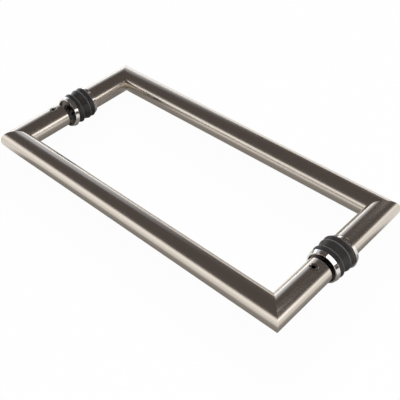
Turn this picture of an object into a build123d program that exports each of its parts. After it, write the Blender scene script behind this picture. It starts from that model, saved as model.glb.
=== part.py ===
from build123d import *
from math import cos, hypot, radians, tan
import os

# Back-to-back pull handle for a door: two mitred tube handles on two through studs.
# Millimetres. X runs along the grips, Y through the door from the front handle (-Y) to the rear
# handle (+Y), Z up. The origin is midway between the two studs, on the middle plane of the door.

# Handle tubes
tube_diameter = 22.0
tube_wall = 1.5
fixing_centres = 300.0
grip_spacing = 135.0
mitre_edge_break = 0.25
leg_end_edge_break = 0.3

# Collars, turned with a seat for the tube end
collar_thickness = 3.6
collar_rim = 1.2
collar_flare = 0.9
collar_edge_radius = 0.25
seat_depth = 1.8
seat_side_clearance = 1.4
seat_floor_clearance = 0.2
collar_slack = 3.2
loose_collar_tilt = 8.0
loose_collar_shift = 1.6

# Rubber rings, which widen towards the rear handle
gasket_thickness = 5.0
middle_ring_thickness = 8.4
rubber_overhang = 0.5
gasket_taper = 2.6
middle_ring_taper = 3.4
rubber_edge_radius = 0.5
rubber_slack = 0.7

# Free movement of the rings along a stud while no door is clamped
stack_play = 4.8
right_front_gap = 2.2

# Studs and the inserts that hold them
stud_diameter = 8.0
stud_side_clearance = 0.2
stud_thread_clearance = 0.05
stud_engagement = 15.0
stud_end_chamfer = 0.8
stud_flat_depth = 0.6
stud_flat_length = 10.0
insert_length = 18.0
insert_setback = 3.5
insert_fit_clearance = 0.05
insert_edge_chamfer = 0.5

# Set screws in the top of the front legs
set_screw_diameter = 6.0
set_screw_setback = 8.8
set_screw_recess = 0.4
set_screw_hole_clearance = 0.2
set_screw_hole_edge_break = 0.4
set_screw_thread_clearance = 0.05
set_screw_tip_chamfer = 0.8
set_screw_rim_chamfer = 0.3
hex_socket_width = 3.0
hex_socket_depth = 2.6

# Sizes that follow from the ones above
tube_radius = tube_diameter / 2
tube_bore_radius = tube_radius - tube_wall
stack_length = 2 * collar_thickness + 2 * gasket_thickness + middle_ring_thickness
leg_end = (stack_length + stack_play) / 2
collar_seat_radius = tube_radius + seat_side_clearance
collar_small_radius = collar_seat_radius + collar_rim
collar_large_radius = collar_small_radius + collar_flare
rubber_radius = collar_large_radius + rubber_overhang
stud_radius = stud_diameter / 2
stud_bore_radius = stud_radius + stud_side_clearance
rubber_bore_radius = stud_bore_radius + rubber_slack
gasket_small_radius = rubber_radius - gasket_taper
gasket_flank = hypot(gasket_thickness, gasket_taper)
gasket_edge_inset = rubber_edge_radius * (gasket_flank - gasket_taper) / gasket_thickness
gasket_flat_radius = gasket_small_radius - gasket_edge_inset
middle_ring_small_radius = rubber_radius - middle_ring_taper
collar_bore_radius = stud_bore_radius + collar_slack
insert_radius = tube_bore_radius - insert_fit_clearance
set_screw_place = leg_end + set_screw_setback
set_screw_top = tube_radius - set_screw_recess
set_screw_bottom = stud_radius - stud_flat_depth

# The rings on the left stud have slid back until the rear tube seats in its collar, and those on the
# right stud have slid forward until the front collar is a small gap from its tube
slide = {
    "left": stack_play / 2 + seat_depth - seat_floor_clearance,
    "right": right_front_gap - stack_play / 2,
}
# Some loose pieces are off centre to the right: two collars and the rubber rings on the left stud
shift = {
    "front_left_collar": loose_collar_shift,
    "rear_right_collar": loose_collar_shift,
    "front_left_gasket": rubber_slack,
    "left_middle_ring": rubber_slack,
    "rear_left_gasket": rubber_slack,
}
# The front left collar leans, its top against the edge of the gasket and its foot forward
lean_radians = radians(loose_collar_tilt)
lean_advance = gasket_flat_radius * tan(lean_radians) + rubber_edge_radius * (1 / cos(lean_radians) - 1)
lean = {"front_left_collar": Pos(0, -lean_advance, 0) * Rot(X=-loose_collar_tilt)}
side_sign = {"left": -1, "right": 1}
face_sign = {"front": -1, "rear": 1}


def stud_place(side):
    """Where a stud's axis lies along the grips."""
    return side_sign[side] * fixing_centres / 2


def tube(start, direction, length):
    """A straight piece of the handle tube."""
    ring = Circle(tube_radius) - Circle(tube_bore_radius)
    return extrude(Plane(origin=start, z_dir=direction) * ring, length)


def mitre_plane(side, face):
    """The cut across a corner, facing the leg."""
    corner = (stud_place(side), face_sign[face] * grip_spacing / 2, 0)
    return Plane(origin=corner, z_dir=(side_sign[side], -face_sign[face], 0))


def mitred(body, side, face, keep):
    """Cut a tube at a corner and break the outer edge of the cut, which leaves the seam line."""
    cut = split(body, bisect_by=mitre_plane(side, face), keep=keep)
    rims = cut.edges().filter_by(GeomType.ELLIPSE)
    near = rims.sort_by_distance(mitre_plane(side, face).origin)
    outer = near[:2].sort_by(SortBy.LENGTH)[-1]
    return chamfer(outer, mitre_edge_break)


def grip_tube(face):
    """The bar that the hand pulls, mitred at both ends."""
    half = fixing_centres / 2 + tube_radius
    body = tube((-half, face_sign[face] * grip_spacing / 2, 0), (1, 0, 0), 2 * half)
    for side in side_sign:
        body = mitred(body, side, face, Keep.BOTTOM)
    return body


def leg_tube(side, face):
    """A leg from its mitre at the grip to its open end by the door."""
    sign = face_sign[face]
    outer_end = grip_spacing / 2 + tube_radius
    body = tube((stud_place(side), sign * outer_end, 0), (0, -sign, 0), outer_end - leg_end)
    body = mitred(body, side, face, Keep.TOP)
    end_face = body.faces().sort_by(Axis.Y)[0 if face == "rear" else -1]
    body = chamfer(end_face.edges().sort_by(SortBy.LENGTH)[-1], leg_end_edge_break)
    if face == "front":
        body = screw_hole(body, side)
    return body


def screw_hole(body, side):
    """The hole for a set screw through the top of a leg, with its outer edge broken."""
    hole_radius = set_screw_diameter / 2 + set_screw_hole_clearance
    drilled = body - upright(side, hole_radius, 0, 2 * tube_radius)
    near = drilled.edges().sort_by_distance((stud_place(side), -set_screw_place, tube_radius))
    outer_edge = near[:2].sort_by(SortBy.LENGTH)[-1]
    return chamfer(outer_edge, set_screw_hole_edge_break)


def upright(side, radius, bottom, top):
    """A vertical cylinder on the axis of a set screw."""
    place = Plane(origin=(stud_place(side), -set_screw_place, bottom))
    return extrude(place * Circle(radius), top - bottom)


def turned(side, section):
    """A section drawn with X as radius and Y along the stud, turned about that stud."""
    return Pos(stud_place(side), 0, 0) * revolve(section, Axis.Y)


def ring_start(side):
    """The front face of the front collar on a stud."""
    return slide[side] - stack_length / 2


def collar(side, face):
    """A flared collar with a seat for the tube end, its wide face against the gasket."""
    seat_floor = seat_depth - collar_thickness
    outline = Polyline(
        (collar_bore_radius, seat_floor),
        (collar_seat_radius, seat_floor),
        (collar_seat_radius, -collar_thickness),
        (collar_small_radius, -collar_thickness),
        (collar_large_radius, 0),
        (collar_bore_radius, 0),
        close=True,
    )
    section = make_face(outline)
    rims = section.vertices().sort_by(Axis.X)[-2:]
    body = revolve(fillet(rims, collar_edge_radius), Axis.Y)
    name = f"{face}_{side}_collar"
    wide_face = ring_start(side) + collar_thickness
    if face == "rear":
        body = mirror(body, Plane.XZ)
        wide_face = ring_start(side) + stack_length - collar_thickness
    place = Pos(stud_place(side) + shift.get(name, 0.0), wide_face, 0)
    return place * lean.get(name, Pos(0, 0, 0)) * body


def rubber_ring(side, start, thickness, front_radius, aside):
    """A tapered rubber ring, its narrow front face at a place on the stud, moved aside."""
    outline = Polyline(
        (rubber_bore_radius, 0),
        (front_radius, 0),
        (rubber_radius, thickness),
        (rubber_bore_radius, thickness),
        close=True,
    )
    section = make_face(outline)
    rims = section.vertices().sort_by(Axis.X)[-2:]
    return Pos(aside, start, 0) * turned(side, fillet(rims, rubber_edge_radius))


def rubber_rings(side):
    """The two gaskets and the middle ring of a stud, by node name, front to rear."""
    layers = {
        f"front_{side}_gasket": (gasket_thickness, gasket_small_radius),
        f"{side}_middle_ring": (middle_ring_thickness, middle_ring_small_radius),
        f"rear_{side}_gasket": (gasket_thickness, gasket_small_radius),
    }
    start = ring_start(side) + collar_thickness
    rings = {}
    for name, (thickness, front_radius) in layers.items():
        rings[name] = rubber_ring(side, start, thickness, front_radius, shift.get(name, 0.0))
        start += thickness
    return rings


def insert(side, face):
    """A turned plug inside the leg end, bored for the stud; the front one is also tapped for the set screw."""
    bore = stud_bore_radius if face == "front" else stud_radius + stud_thread_clearance
    bore_end = stud_engagement + stud_end_chamfer
    insert_end = insert_setback + insert_length
    outline = Polyline(
        (bore, insert_setback),
        (insert_radius, insert_setback),
        (insert_radius, insert_end),
        (0, insert_end),
        (0, bore_end),
        (bore, bore_end),
        close=True,
    )
    section = make_face(outline)
    inner_rim = section.vertices().group_by(Axis.Y)[-1].sort_by(Axis.X)[-1]
    section = chamfer(inner_rim, insert_edge_chamfer)
    if face == "rear":
        return turned(side, Pos(0, leg_end) * section)
    plug = turned(side, Pos(0, -leg_end) * mirror(section, Plane.XZ))
    thread_radius = set_screw_diameter / 2 + set_screw_thread_clearance
    return plug - upright(side, thread_radius, 0, tube_radius)


def stud(side):
    """A stud from the rear insert to the front insert, with a flat for the set screw at its front end."""
    half = leg_end + stud_engagement
    section = Pos(stud_radius / 2, 0) * Rectangle(stud_radius, 2 * half)
    rims = section.vertices().sort_by(Axis.X)[-2:]
    body = turned(side, chamfer(rims, stud_end_chamfer))
    flat_place = Pos(stud_place(side), -half + stud_flat_length / 2, set_screw_bottom + stud_radius)
    return body - flat_place * Box(stud_diameter, stud_flat_length, 2 * stud_radius)


def set_screw(side):
    """A headless screw with a hex socket, from the stud's flat to just under the tube's surface."""
    body = upright(side, set_screw_diameter / 2, set_screw_bottom, set_screw_top)
    rings = body.edges().filter_by(GeomType.CIRCLE).sort_by(Axis.Z)
    body = chamfer(rings[0], set_screw_tip_chamfer)
    top_ring = body.edges().filter_by(GeomType.CIRCLE).sort_by(Axis.Z)[-1]
    body = chamfer(top_ring, set_screw_rim_chamfer)
    socket_floor = Plane(origin=(stud_place(side), -set_screw_place, set_screw_top - hex_socket_depth))
    hexagon = RegularPolygon(hex_socket_width / 2, 6, major_radius=False)
    return body - extrude(socket_floor * hexagon, 2 * hex_socket_depth)


def build_nodes():
    """Every piece of the handle by node name."""
    nodes = {}
    for face in face_sign:
        nodes[f"{face}_grip_tube"] = grip_tube(face)
        for side in side_sign:
            nodes[f"{face}_{side}_leg"] = leg_tube(side, face)
            nodes[f"{face}_{side}_insert"] = insert(side, face)
            nodes[f"{face}_{side}_collar"] = collar(side, face)
    for side in side_sign:
        nodes.update(rubber_rings(side))
    nodes["through_studs"] = Compound([stud(side) for side in side_sign])
    nodes["set_screws"] = Compound([set_screw(side) for side in side_sign])
    return nodes


os.makedirs("parts", exist_ok=True)
for name, shape in build_nodes().items():
    export_step(shape, f"parts/{name}.step")
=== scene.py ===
import math

import bpy
from mathutils import Matrix, Vector


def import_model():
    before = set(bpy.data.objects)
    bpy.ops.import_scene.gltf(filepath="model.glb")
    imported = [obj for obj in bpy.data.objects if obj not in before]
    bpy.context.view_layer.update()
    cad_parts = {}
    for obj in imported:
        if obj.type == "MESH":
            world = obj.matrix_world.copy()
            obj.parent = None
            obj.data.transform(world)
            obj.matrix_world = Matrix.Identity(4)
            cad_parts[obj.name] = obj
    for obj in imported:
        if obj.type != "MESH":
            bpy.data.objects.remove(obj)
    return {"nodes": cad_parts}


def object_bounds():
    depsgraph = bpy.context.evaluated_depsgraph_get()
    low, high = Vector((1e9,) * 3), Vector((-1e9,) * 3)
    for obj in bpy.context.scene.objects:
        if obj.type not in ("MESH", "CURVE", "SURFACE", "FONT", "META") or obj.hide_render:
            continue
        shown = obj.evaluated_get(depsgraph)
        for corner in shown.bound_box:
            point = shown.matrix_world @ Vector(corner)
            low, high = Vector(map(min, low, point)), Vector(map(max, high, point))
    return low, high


# Looks of a back-to-back door pull handle: brushed steel tubes, polished collars and rubber rings.
# Metres, in the frame of the solids: X along the grips, Y through the door, Z up.

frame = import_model()
cad_low, cad_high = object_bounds()

FACES = ("front", "rear")
SIDES = ("left", "right")

# Studs and set screws, by their distance from the middle, and how far loose pieces are off centre, outwards
STUD_PLACE = 0.150
SCREW_PLACE = 0.0240
COLLAR_SHIFT = {"front_left_collar": -0.0016, "rear_right_collar": 0.0016}
RING_SHIFT = {"left": -0.0007, "right": 0.0}

# Camera, fitted to the tube edges in the photograph
IMAGE_WIDTH_PX = 400
FOCAL_PX = 703.8
SENSOR_MM = 36.0
CAMERA_AZIMUTH_DEG = 44.97
CAMERA_ELEVATION_DEG = 42.86
CAMERA_ROLL_DEG = -3.01
CAMERA_DISTANCE = 0.6031
CAMERA_RIGHT_OFFSET = 0.01014
CAMERA_UP_OFFSET = -0.02352

# Textures: the part of its range that noise mostly fills, scales that draw it out along an axis where they
# are small, and the axes that count in a radius
NOISE_LOW = 0.3
NOISE_HIGH = 0.7
EVEN = (1.0, 1.0, 1.0)
BRUSHED_STRETCH = {"X": (0.01, 1.0, 1.0), "Y": (1.0, 0.01, 1.0)}
MOTTLE_EVENNESS = 0.25
POLISHED_STRETCH = (0.05, 1.0, 0.05)
TURNED_STRETCH = (1.0, 0.2, 1.0)
ACROSS_STUD = (1, 0, 1)
ACROSS_SCREW = (1, 1, 0)

# Finishes: two colours or two levels of roughness that a texture runs between, and as an edge the two radii
# between which one finish turns into the next
SATIN_COLOURS = ((0.62, 0.56, 0.49), (0.66, 0.60, 0.53))
SATIN_ROUGHNESS = (0.17, 0.24)
SATIN_ANISOTROPY = 0.4
POLISHED_COLOURS = ((0.70, 0.67, 0.63), (0.77, 0.745, 0.71))
POLISHED_ROUGHNESS = (0.03, 0.08)
# The seat colour is painted shade in the recess where the tube sits; the seat's higher roughness is its dull
# finish.
SEAT_SHADE_COLOUR = (0.16, 0.14, 0.125)
SEAT_ROUGHNESS = 0.4
SEAT_EDGE = (0.0124, 0.0126)
RUBBER_COLOURS = ((0.016, 0.0148, 0.0148), (0.038, 0.035, 0.034))
RUBBER_ROUGHNESS = (0.30, 0.42)
RUBBER_SPECULAR = 0.35
# The crest colour is a painted highlight: a grey line along the outer crest of each rubber ring.
CREST_HIGHLIGHT_COLOUR = (0.17, 0.16, 0.153)
CREST_HIGHLIGHT_EDGE = (0.0144, 0.0149)
TURNED_COLOURS = ((0.50, 0.48, 0.46), (0.60, 0.58, 0.56))
TURNED_ROUGHNESS = (0.24, 0.36)
STUD_COLOURS = ((0.52, 0.51, 0.49), (0.62, 0.61, 0.59))
STUD_ROUGHNESS = (0.26, 0.38)
SCREW_COLOURS = ((0.36, 0.34, 0.31), (0.47, 0.45, 0.42))
SCREW_ROUGHNESS = (0.24, 0.36)
# The socket colour is painted shade in the hex socket of each set screw.
SOCKET_SHADE_COLOUR = (0.03, 0.026, 0.024)
SOCKET_EDGE = (0.0016, 0.0019)

# Floor: pale, with a greyer pad of painted shadow in the form of a frame under the tubes, which their metal
# shows as a reflected shadow
FLOOR_HALF_SIZE = 6.0
FLOOR_COLOUR = (0.86, 0.86, 0.86)
# The pad colour is painted shadow: the floor's shade under and beside the tubes, as their metal reflects it.
PAINTED_SHADOW_COLOUR = (0.19, 0.176, 0.164)
PAINTED_SHADOW_CENTRE = (0.018, -0.022)
PAINTED_SHADOW_HALF_SIZE = (0.150, 0.0675)
PAINTED_SHADOW_FADE = (0.006, 0.052)
PAINTED_SHADOW_WHITE_SHARE = 0.12
FLOOR_SHADOW_SHARE = 0.025

# Light round the set: a dim warm ceiling, a bright band at the horizon that is missing at the right, a
# cool glow at the left back, a lamp at the right back, a narrow window high at the back, two softbox strips
# over the right-hand side and a large softbox overhead
CEILING_COLOUR = (0.106, 0.092, 0.089)
HORIZON_COLOUR = (1.22, 1.22, 1.22)
HORIZON_TILT = (0.0, 0.085, 1.0)
HORIZON_BAND_DEG = (12.0, 22.0)
BREAK_DIRECTION = (0.965, 0.19, 0.12)
BREAK_SPREAD_DEG = (6.0, 13.0)
GLOW_COLOUR = (0.62, 0.69, 0.79)
GLOW_DIRECTION = (-0.88, 0.46, 0.24)
GLOW_SPREAD_DEG = (9.0, 33.0)
LAMP_COLOUR = (0.95, 0.95, 0.95)
LAMP_DIRECTION = (0.905, 0.385, 0.165)
LAMP_SPREAD_DEG = (4.0, 12.0)
WINDOW_COLOUR = (0.9, 0.9, 0.9)
WINDOW_EDGES = ((0.0, 1.0, 0.0), (0.0, 0.165, 0.986))
WINDOW_SPREAD_DEG = (42.5, 45.5)
STRIPS = {
    "near_strip": ((0.305, 0.030), (0.34, 0.05)),
    "far_strip": ((0.525, 0.078), (0.45, 0.055)),
}
STRIP_HEIGHT = 0.31
STRIP_RADIANCE = 1.7
FILL_HEIGHT = 1.5
FILL_SIZE = (2.0, 2.0)
FILL_POWER = 24.0


# Shader helpers
def new_material(name):
    """A node material with its output and a Principled shader joined to it."""
    material = bpy.data.materials.new(name)
    material.use_nodes = True
    tree = material.node_tree
    shader = tree.nodes["Principled BSDF"]
    return material, tree, shader


def add(tree, kind, **values):
    """A node with its properties and unlinked inputs set by name."""
    node = tree.nodes.new(kind)
    for name, value in values.items():
        if hasattr(node, name):
            setattr(node, name, value)
        else:
            node.inputs[name.replace("_", " ")].default_value = value
    return node


def combined(tree, operation, first, second):
    """Two values joined by one math node; the second may be a plain number."""
    node = add(tree, "ShaderNodeMath", operation=operation)
    tree.links.new(first, node.inputs[0])
    if isinstance(second, float):
        node.inputs[1].default_value = second
    else:
        tree.links.new(second, node.inputs[1])
    return node.outputs["Value"]


def chained(tree, source, *steps):
    """A vector taken through vector math steps in turn, each an operation and the vector it uses, if any."""
    for operation, *vectors in steps:
        node = add(tree, "ShaderNodeVectorMath", operation=operation)
        tree.links.new(source, node.inputs[0])
        for vector in vectors:
            node.inputs[1].default_value = vector
        source = node.outputs["Value" if operation in ("LENGTH", "DOT_PRODUCT") else "Vector"]
    return source


def blended(tree, factor, first, second):
    """A colour between two others, each a plain colour or an output."""
    mix = add(tree, "ShaderNodeMix", data_type="RGBA")
    tree.links.new(factor, mix.inputs["Factor"])
    for name, colour in (("A", first), ("B", second)):
        if isinstance(colour, tuple):
            mix.inputs[name].default_value = (*colour, 1)
        else:
            tree.links.new(colour, mix.inputs[name])
    return mix.outputs["Result"]


def stretched_noise(tree, stretch, scale, detail):
    """Noise in object space, with its features drawn out along the axes whose stretch is small."""
    place = add(tree, "ShaderNodeTexCoord")
    mapping = add(tree, "ShaderNodeMapping", Scale=stretch)
    noise = add(tree, "ShaderNodeTexNoise", Scale=scale, Detail=detail)
    tree.links.new(place.outputs["Object"], mapping.inputs["Vector"])
    tree.links.new(mapping.outputs["Vector"], noise.inputs["Vector"])
    return noise.outputs["Fac"]


def ranged(tree, noise, low, high):
    """Noise spread from low to high."""
    spread = add(tree, "ShaderNodeMapRange", From_Min=NOISE_LOW, From_Max=NOISE_HIGH, To_Min=low, To_Max=high)
    tree.links.new(noise, spread.inputs["Value"])
    return spread.outputs["Result"]


def from_axis(tree, centre, across, near, far):
    """0 within near of an axis through a folded place, rising to 1 at far; across marks the axes counted."""
    place = add(tree, "ShaderNodeTexCoord")
    steps = (("ABSOLUTE",), ("SUBTRACT", centre), ("MULTIPLY", across), ("LENGTH",))
    rise = add(tree, "ShaderNodeMapRange", From_Min=near, From_Max=far)
    tree.links.new(chained(tree, place.outputs["Object"], *steps), rise.inputs["Value"])
    return rise.outputs["Result"]


def bumped(tree, shader, noise, strength, distance):
    """Joins noise to the shader's normal as bump."""
    bump = add(tree, "ShaderNodeBump", Strength=strength, Distance=distance)
    tree.links.new(noise, bump.inputs["Height"])
    tree.links.new(bump.outputs["Normal"], shader.inputs["Normal"])


# Materials
def brushed_steel(name, axis):
    """Satin stainless steel, brushed along the tube's own axis, with a mottle that is drawn out less."""
    material, tree, shader = new_material(name)
    stretch = BRUSHED_STRETCH[axis]
    mottle_stretch = tuple(MOTTLE_EVENNESS + (1.0 - MOTTLE_EVENNESS) * part for part in stretch)
    grain = stretched_noise(tree, stretch, scale=4200.0, detail=3.0)
    mottle = stretched_noise(tree, mottle_stretch, scale=260.0, detail=2.0)
    tangent = add(tree, "ShaderNodeTangent", direction_type="RADIAL", axis=axis)
    shader.inputs["Metallic"].default_value = 1.0
    shader.inputs["Anisotropic"].default_value = SATIN_ANISOTROPY
    tree.links.new(blended(tree, mottle, *SATIN_COLOURS), shader.inputs["Base Color"])
    tree.links.new(ranged(tree, grain, *SATIN_ROUGHNESS), shader.inputs["Roughness"])
    tree.links.new(tangent.outputs["Tangent"], shader.inputs["Tangent"])
    bumped(tree, shader, grain, strength=0.06, distance=0.00002)
    return material


def polished_steel(name, centre):
    """Polished collar steel with faint turning marks, left dull in the seat for the tube, which a dark colour
    fills as painted shade.
    """
    material, tree, shader = new_material(name)
    marks = stretched_noise(tree, POLISHED_STRETCH, scale=2600.0, detail=2.0)
    polished = blended(tree, marks, *POLISHED_COLOURS)
    outside = from_axis(tree, (centre, 0, 0), ACROSS_STUD, *SEAT_EDGE)
    roughness = add(tree, "ShaderNodeMapRange", To_Min=SEAT_ROUGHNESS)
    tree.links.new(outside, roughness.inputs["Value"])
    tree.links.new(ranged(tree, marks, *POLISHED_ROUGHNESS), roughness.inputs["To Max"])
    shader.inputs["Metallic"].default_value = 1.0
    # painted shade darkens the seat for the tube
    tree.links.new(blended(tree, outside, SEAT_SHADE_COLOUR, polished), shader.inputs["Base Color"])
    tree.links.new(roughness.outputs["Result"], shader.inputs["Roughness"])
    bumped(tree, shader, marks, strength=0.06, distance=0.00002)
    return material


def black_rubber(name, centre):
    """Dull moulded rubber with a fine grain and slight greying, and a grey painted highlight along the rings'
    outer crests.
    """
    material, tree, shader = new_material(name)
    grain = stretched_noise(tree, EVEN, scale=2400.0, detail=3.0)
    bloom = stretched_noise(tree, EVEN, scale=140.0, detail=3.0)
    plain = blended(tree, bloom, *RUBBER_COLOURS)
    crest_highlight = from_axis(tree, (centre, 0, 0), ACROSS_STUD, *CREST_HIGHLIGHT_EDGE)
    shader.inputs["Specular IOR Level"].default_value = RUBBER_SPECULAR
    # painted highlight: the outer crests are turned grey
    tree.links.new(blended(tree, crest_highlight, plain, CREST_HIGHLIGHT_COLOUR), shader.inputs["Base Color"])
    tree.links.new(ranged(tree, bloom, *RUBBER_ROUGHNESS), shader.inputs["Roughness"])
    bumped(tree, shader, grain, strength=0.25, distance=0.00004)
    return material


def turned_steel(name, colours, roughness):
    """Plain machined steel for the inserts and studs."""
    material, tree, shader = new_material(name)
    marks = stretched_noise(tree, TURNED_STRETCH, scale=1800.0, detail=3.0)
    shader.inputs["Metallic"].default_value = 1.0
    tree.links.new(blended(tree, marks, *colours), shader.inputs["Base Color"])
    tree.links.new(ranged(tree, marks, *roughness), shader.inputs["Roughness"])
    bumped(tree, shader, marks, strength=0.1, distance=0.00003)
    return material


def screw_steel(name):
    """Plain steel of the set screws, with the hex socket darkened by painted shade."""
    material, tree, shader = new_material(name)
    marks = stretched_noise(tree, EVEN, scale=1800.0, detail=3.0)
    face = blended(tree, marks, *SCREW_COLOURS)
    outside = from_axis(tree, (STUD_PLACE, SCREW_PLACE, 0), ACROSS_SCREW, *SOCKET_EDGE)
    shader.inputs["Metallic"].default_value = 1.0
    # painted shade darkens the hex socket
    tree.links.new(blended(tree, outside, SOCKET_SHADE_COLOUR, face), shader.inputs["Base Color"])
    tree.links.new(ranged(tree, marks, *SCREW_ROUGHNESS), shader.inputs["Roughness"])
    bumped(tree, shader, marks, strength=0.1, distance=0.00003)
    return material


def dress(node, material):
    """Gives a solid its finished material."""
    mesh = frame["nodes"][node].data
    mesh.materials.clear()
    mesh.materials.append(material)


def dress_all():
    """Every solid with the material of its kind."""
    along_x = brushed_steel("satin_steel_grip", "X")
    along_y = brushed_steel("satin_steel_leg", "Y")
    rubber = {side: black_rubber(f"black_rubber_{side}", STUD_PLACE + RING_SHIFT[side]) for side in SIDES}
    turned = turned_steel("turned_steel", TURNED_COLOURS, TURNED_ROUGHNESS)
    for face in FACES:
        dress(f"{face}_grip_tube", along_x)
        for side in SIDES:
            collar = f"{face}_{side}_collar"
            centre = STUD_PLACE + COLLAR_SHIFT.get(collar, 0.0)
            dress(f"{face}_{side}_leg", along_y)
            dress(collar, polished_steel(f"polished_steel_{face}_{side}", centre))
            dress(f"{face}_{side}_insert", turned)
            dress(f"{face}_{side}_gasket", rubber[side])
    for side in SIDES:
        dress(f"{side}_middle_ring", rubber[side])
    dress("through_studs", turned_steel("stud_steel", STUD_COLOURS, STUD_ROUGHNESS))
    dress("set_screws", screw_steel("screw_steel"))


# Floor
def painted_shadow_distance(tree):
    """Distance over the floor from the outline of the painted shadow pad's box, on either side of it."""
    place = add(tree, "ShaderNodeTexCoord")
    to_box = (("SUBTRACT", (*PAINTED_SHADOW_CENTRE, 0)), ("ABSOLUTE",), ("SUBTRACT", (*PAINTED_SHADOW_HALF_SIZE, 0)))
    beyond = chained(tree, place.outputs["Object"], *to_box)
    outside = chained(tree, beyond, ("MAXIMUM", (0, 0, 0)), ("MULTIPLY", (1, 1, 0)), ("LENGTH",))
    parts = add(tree, "ShaderNodeSeparateXYZ")
    tree.links.new(beyond, parts.inputs["Vector"])
    nearest = combined(tree, "MAXIMUM", parts.outputs["X"], parts.outputs["Y"])
    inside = combined(tree, "MINIMUM", nearest, 0.0)
    return combined(tree, "SUBTRACT", outside, inside)


def paleness(tree):
    """The painted shadow pad's share of white under the tubes, rising to 1 where the floor is as pale as the
    background.
    """
    near, far = PAINTED_SHADOW_FADE
    fade = add(tree, "ShaderNodeMapRange", interpolation_type="SMOOTHSTEP",
               From_Min=near, From_Max=far, To_Min=PAINTED_SHADOW_WHITE_SHARE)
    tree.links.new(painted_shadow_distance(tree), fade.inputs["Value"])
    return fade.outputs["Result"]


def floor_surface(tree):
    """The shaded floor with its painted shadow pad, white to the camera and, away from the pad, white in
    metal and glass too.
    """
    pale = paleness(tree)
    matt = add(tree, "ShaderNodeBsdfDiffuse")
    # the greyer pad is painted shadow under the tubes
    tree.links.new(blended(tree, pale, PAINTED_SHADOW_COLOUR, FLOOR_COLOUR), matt.inputs["Color"])
    white = add(tree, "ShaderNodeEmission", Color=(1, 1, 1, 1), Strength=1.0)
    path = add(tree, "ShaderNodeLightPath")
    mirrored = combined(tree, "MAXIMUM", path.outputs["Is Glossy Ray"], path.outputs["Is Transmission Ray"])
    mirrored_pale = combined(tree, "MULTIPLY", mirrored, pale)
    seen = combined(tree, "MAXIMUM", path.outputs["Is Camera Ray"], mirrored_pale)
    share = combined(tree, "MULTIPLY", seen, 1.0 - FLOOR_SHADOW_SHARE)
    mixed = add(tree, "ShaderNodeMixShader")
    tree.links.new(share, mixed.inputs["Fac"])
    tree.links.new(matt.outputs["BSDF"], mixed.inputs[1])
    tree.links.new(white.outputs["Emission"], mixed.inputs[2])
    return mixed.outputs["Shader"]


def floor():
    """A pale floor under the rubber rings."""
    height = cad_low.z
    signs = ((-1, -1), (1, -1), (1, 1), (-1, 1))
    corners = [(x * FLOOR_HALF_SIZE, y * FLOOR_HALF_SIZE, height) for x, y in signs]
    mesh = bpy.data.meshes.new("floor")
    mesh.from_pydata(corners, [], [(0, 1, 2, 3)])
    plane = bpy.data.objects.new("floor", mesh)
    bpy.context.scene.collection.objects.link(plane)
    material, tree, shader = new_material("pale_floor")
    tree.nodes.remove(shader)
    tree.links.new(floor_surface(tree), tree.nodes["Material Output"].inputs["Surface"])
    mesh.materials.append(material)


# Light and camera
def faded(tree, axis, near, far):
    """1 where the direction's reach along an axis is near, falling to 0 where it is far."""
    direction = add(tree, "ShaderNodeTexCoord")
    reach = chained(tree, direction.outputs["Generated"], ("DOT_PRODUCT", axis))
    fade = add(tree, "ShaderNodeMapRange", interpolation_type="SMOOTHSTEP",
               From_Min=near, From_Max=far, To_Min=1.0, To_Max=0.0)
    tree.links.new(reach, fade.inputs["Value"])
    return fade.outputs["Result"]


def spot(tree, direction, spread):
    """1 within the first angle of a direction, falling to 0 at the second."""
    inner, outer = (math.cos(math.radians(angle)) for angle in spread)
    return faded(tree, Vector(direction).normalized(), inner, outer)


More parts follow.
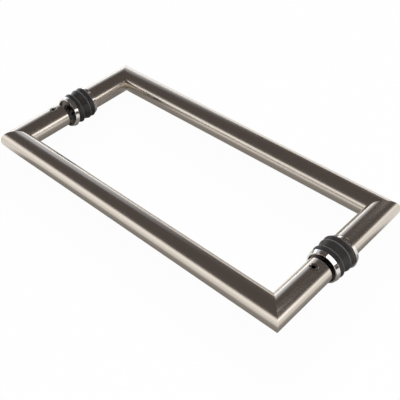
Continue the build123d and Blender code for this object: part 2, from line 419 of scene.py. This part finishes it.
def world():
    """The light round the set."""
    sky = bpy.data.worlds.new("studio")
    sky.use_nodes = True
    tree = sky.node_tree
    total = tree.nodes["Background"]
    total.inputs["Color"].default_value = (*CEILING_COLOUR, 1)
    low, high = (math.sin(math.radians(angle)) for angle in HORIZON_BAND_DEG)
    band = faded(tree, HORIZON_TILT, low, high)
    missing = combined(tree, "MULTIPLY", band, spot(tree, BREAK_DIRECTION, BREAK_SPREAD_DEG))
    near_edge, far_edge = (spot(tree, edge, WINDOW_SPREAD_DEG) for edge in WINDOW_EDGES)
    lights = (
        (combined(tree, "SUBTRACT", band, missing), HORIZON_COLOUR),
        (spot(tree, GLOW_DIRECTION, GLOW_SPREAD_DEG), GLOW_COLOUR),
        (spot(tree, LAMP_DIRECTION, LAMP_SPREAD_DEG), LAMP_COLOUR),
        (combined(tree, "MULTIPLY", near_edge, far_edge), WINDOW_COLOUR),
    )
    for strength, colour in lights:
        light = add(tree, "ShaderNodeBackground", Color=(*colour, 1))
        tree.links.new(strength, light.inputs["Strength"])
        both = add(tree, "ShaderNodeAddShader")
        tree.links.new(total.outputs[0], both.inputs[0])
        tree.links.new(light.outputs[0], both.inputs[1])
        total = both
    tree.links.new(total.outputs[0], tree.nodes["World Output"].inputs["Surface"])
    bpy.context.scene.world = sky


def softbox(name, place, size, power):
    """A lamp over the set that faces down and is hidden from the camera."""
    lamp = bpy.data.lights.new(name, "AREA")
    lamp.shape = "RECTANGLE"
    lamp.size, lamp.size_y = size
    lamp.energy = power
    box = bpy.data.objects.new(name, lamp)
    box.location = place
    box.visible_camera = False
    bpy.context.scene.collection.objects.link(box)
    return box


def strip_lights():
    """Two softbox strips over the right-hand side, which the polished collars show."""
    for name, (place, (width, depth)) in STRIPS.items():
        power = STRIP_RADIANCE * math.pi * width * depth
        softbox(name, (*place, STRIP_HEIGHT), (width, depth), power)


def fill_light():
    """A large softbox overhead that brings dull surfaces to a plain level, kept out of the reflections."""
    fill = softbox("fill", (0, 0, FILL_HEIGHT), FILL_SIZE, FILL_POWER)
    fill.visible_glossy = False


def camera():
    """The camera of the photograph."""
    azimuth = math.radians(CAMERA_AZIMUTH_DEG)
    elevation = math.radians(CAMERA_ELEVATION_DEG)
    roll = math.radians(CAMERA_ROLL_DEG)
    level_back = Vector((math.sin(azimuth), -math.cos(azimuth), 0))
    back = level_back * math.cos(elevation) + Vector((0, 0, math.sin(elevation)))
    right = Vector((math.cos(azimuth), math.sin(azimuth), 0))
    up = back.cross(right)
    place = back * CAMERA_DISTANCE + right * CAMERA_RIGHT_OFFSET + up * CAMERA_UP_OFFSET
    turned_right = math.cos(roll) * right + math.sin(roll) * up
    turned_up = math.cos(roll) * up - math.sin(roll) * right
    turn = Matrix((turned_right, turned_up, back)).transposed().to_4x4()
    data = bpy.data.cameras.new("camera")
    data.sensor_width = SENSOR_MM
    data.lens = SENSOR_MM * FOCAL_PX / IMAGE_WIDTH_PX
    view = bpy.data.objects.new("camera", data)
    view.matrix_world = Matrix.Translation(place) @ turn
    bpy.context.scene.collection.objects.link(view)
    bpy.context.scene.camera = view


dress_all()
floor()
world()
strip_lights()
fill_light()
camera()
bpy.context.scene.view_settings.view_transform = "Standard"
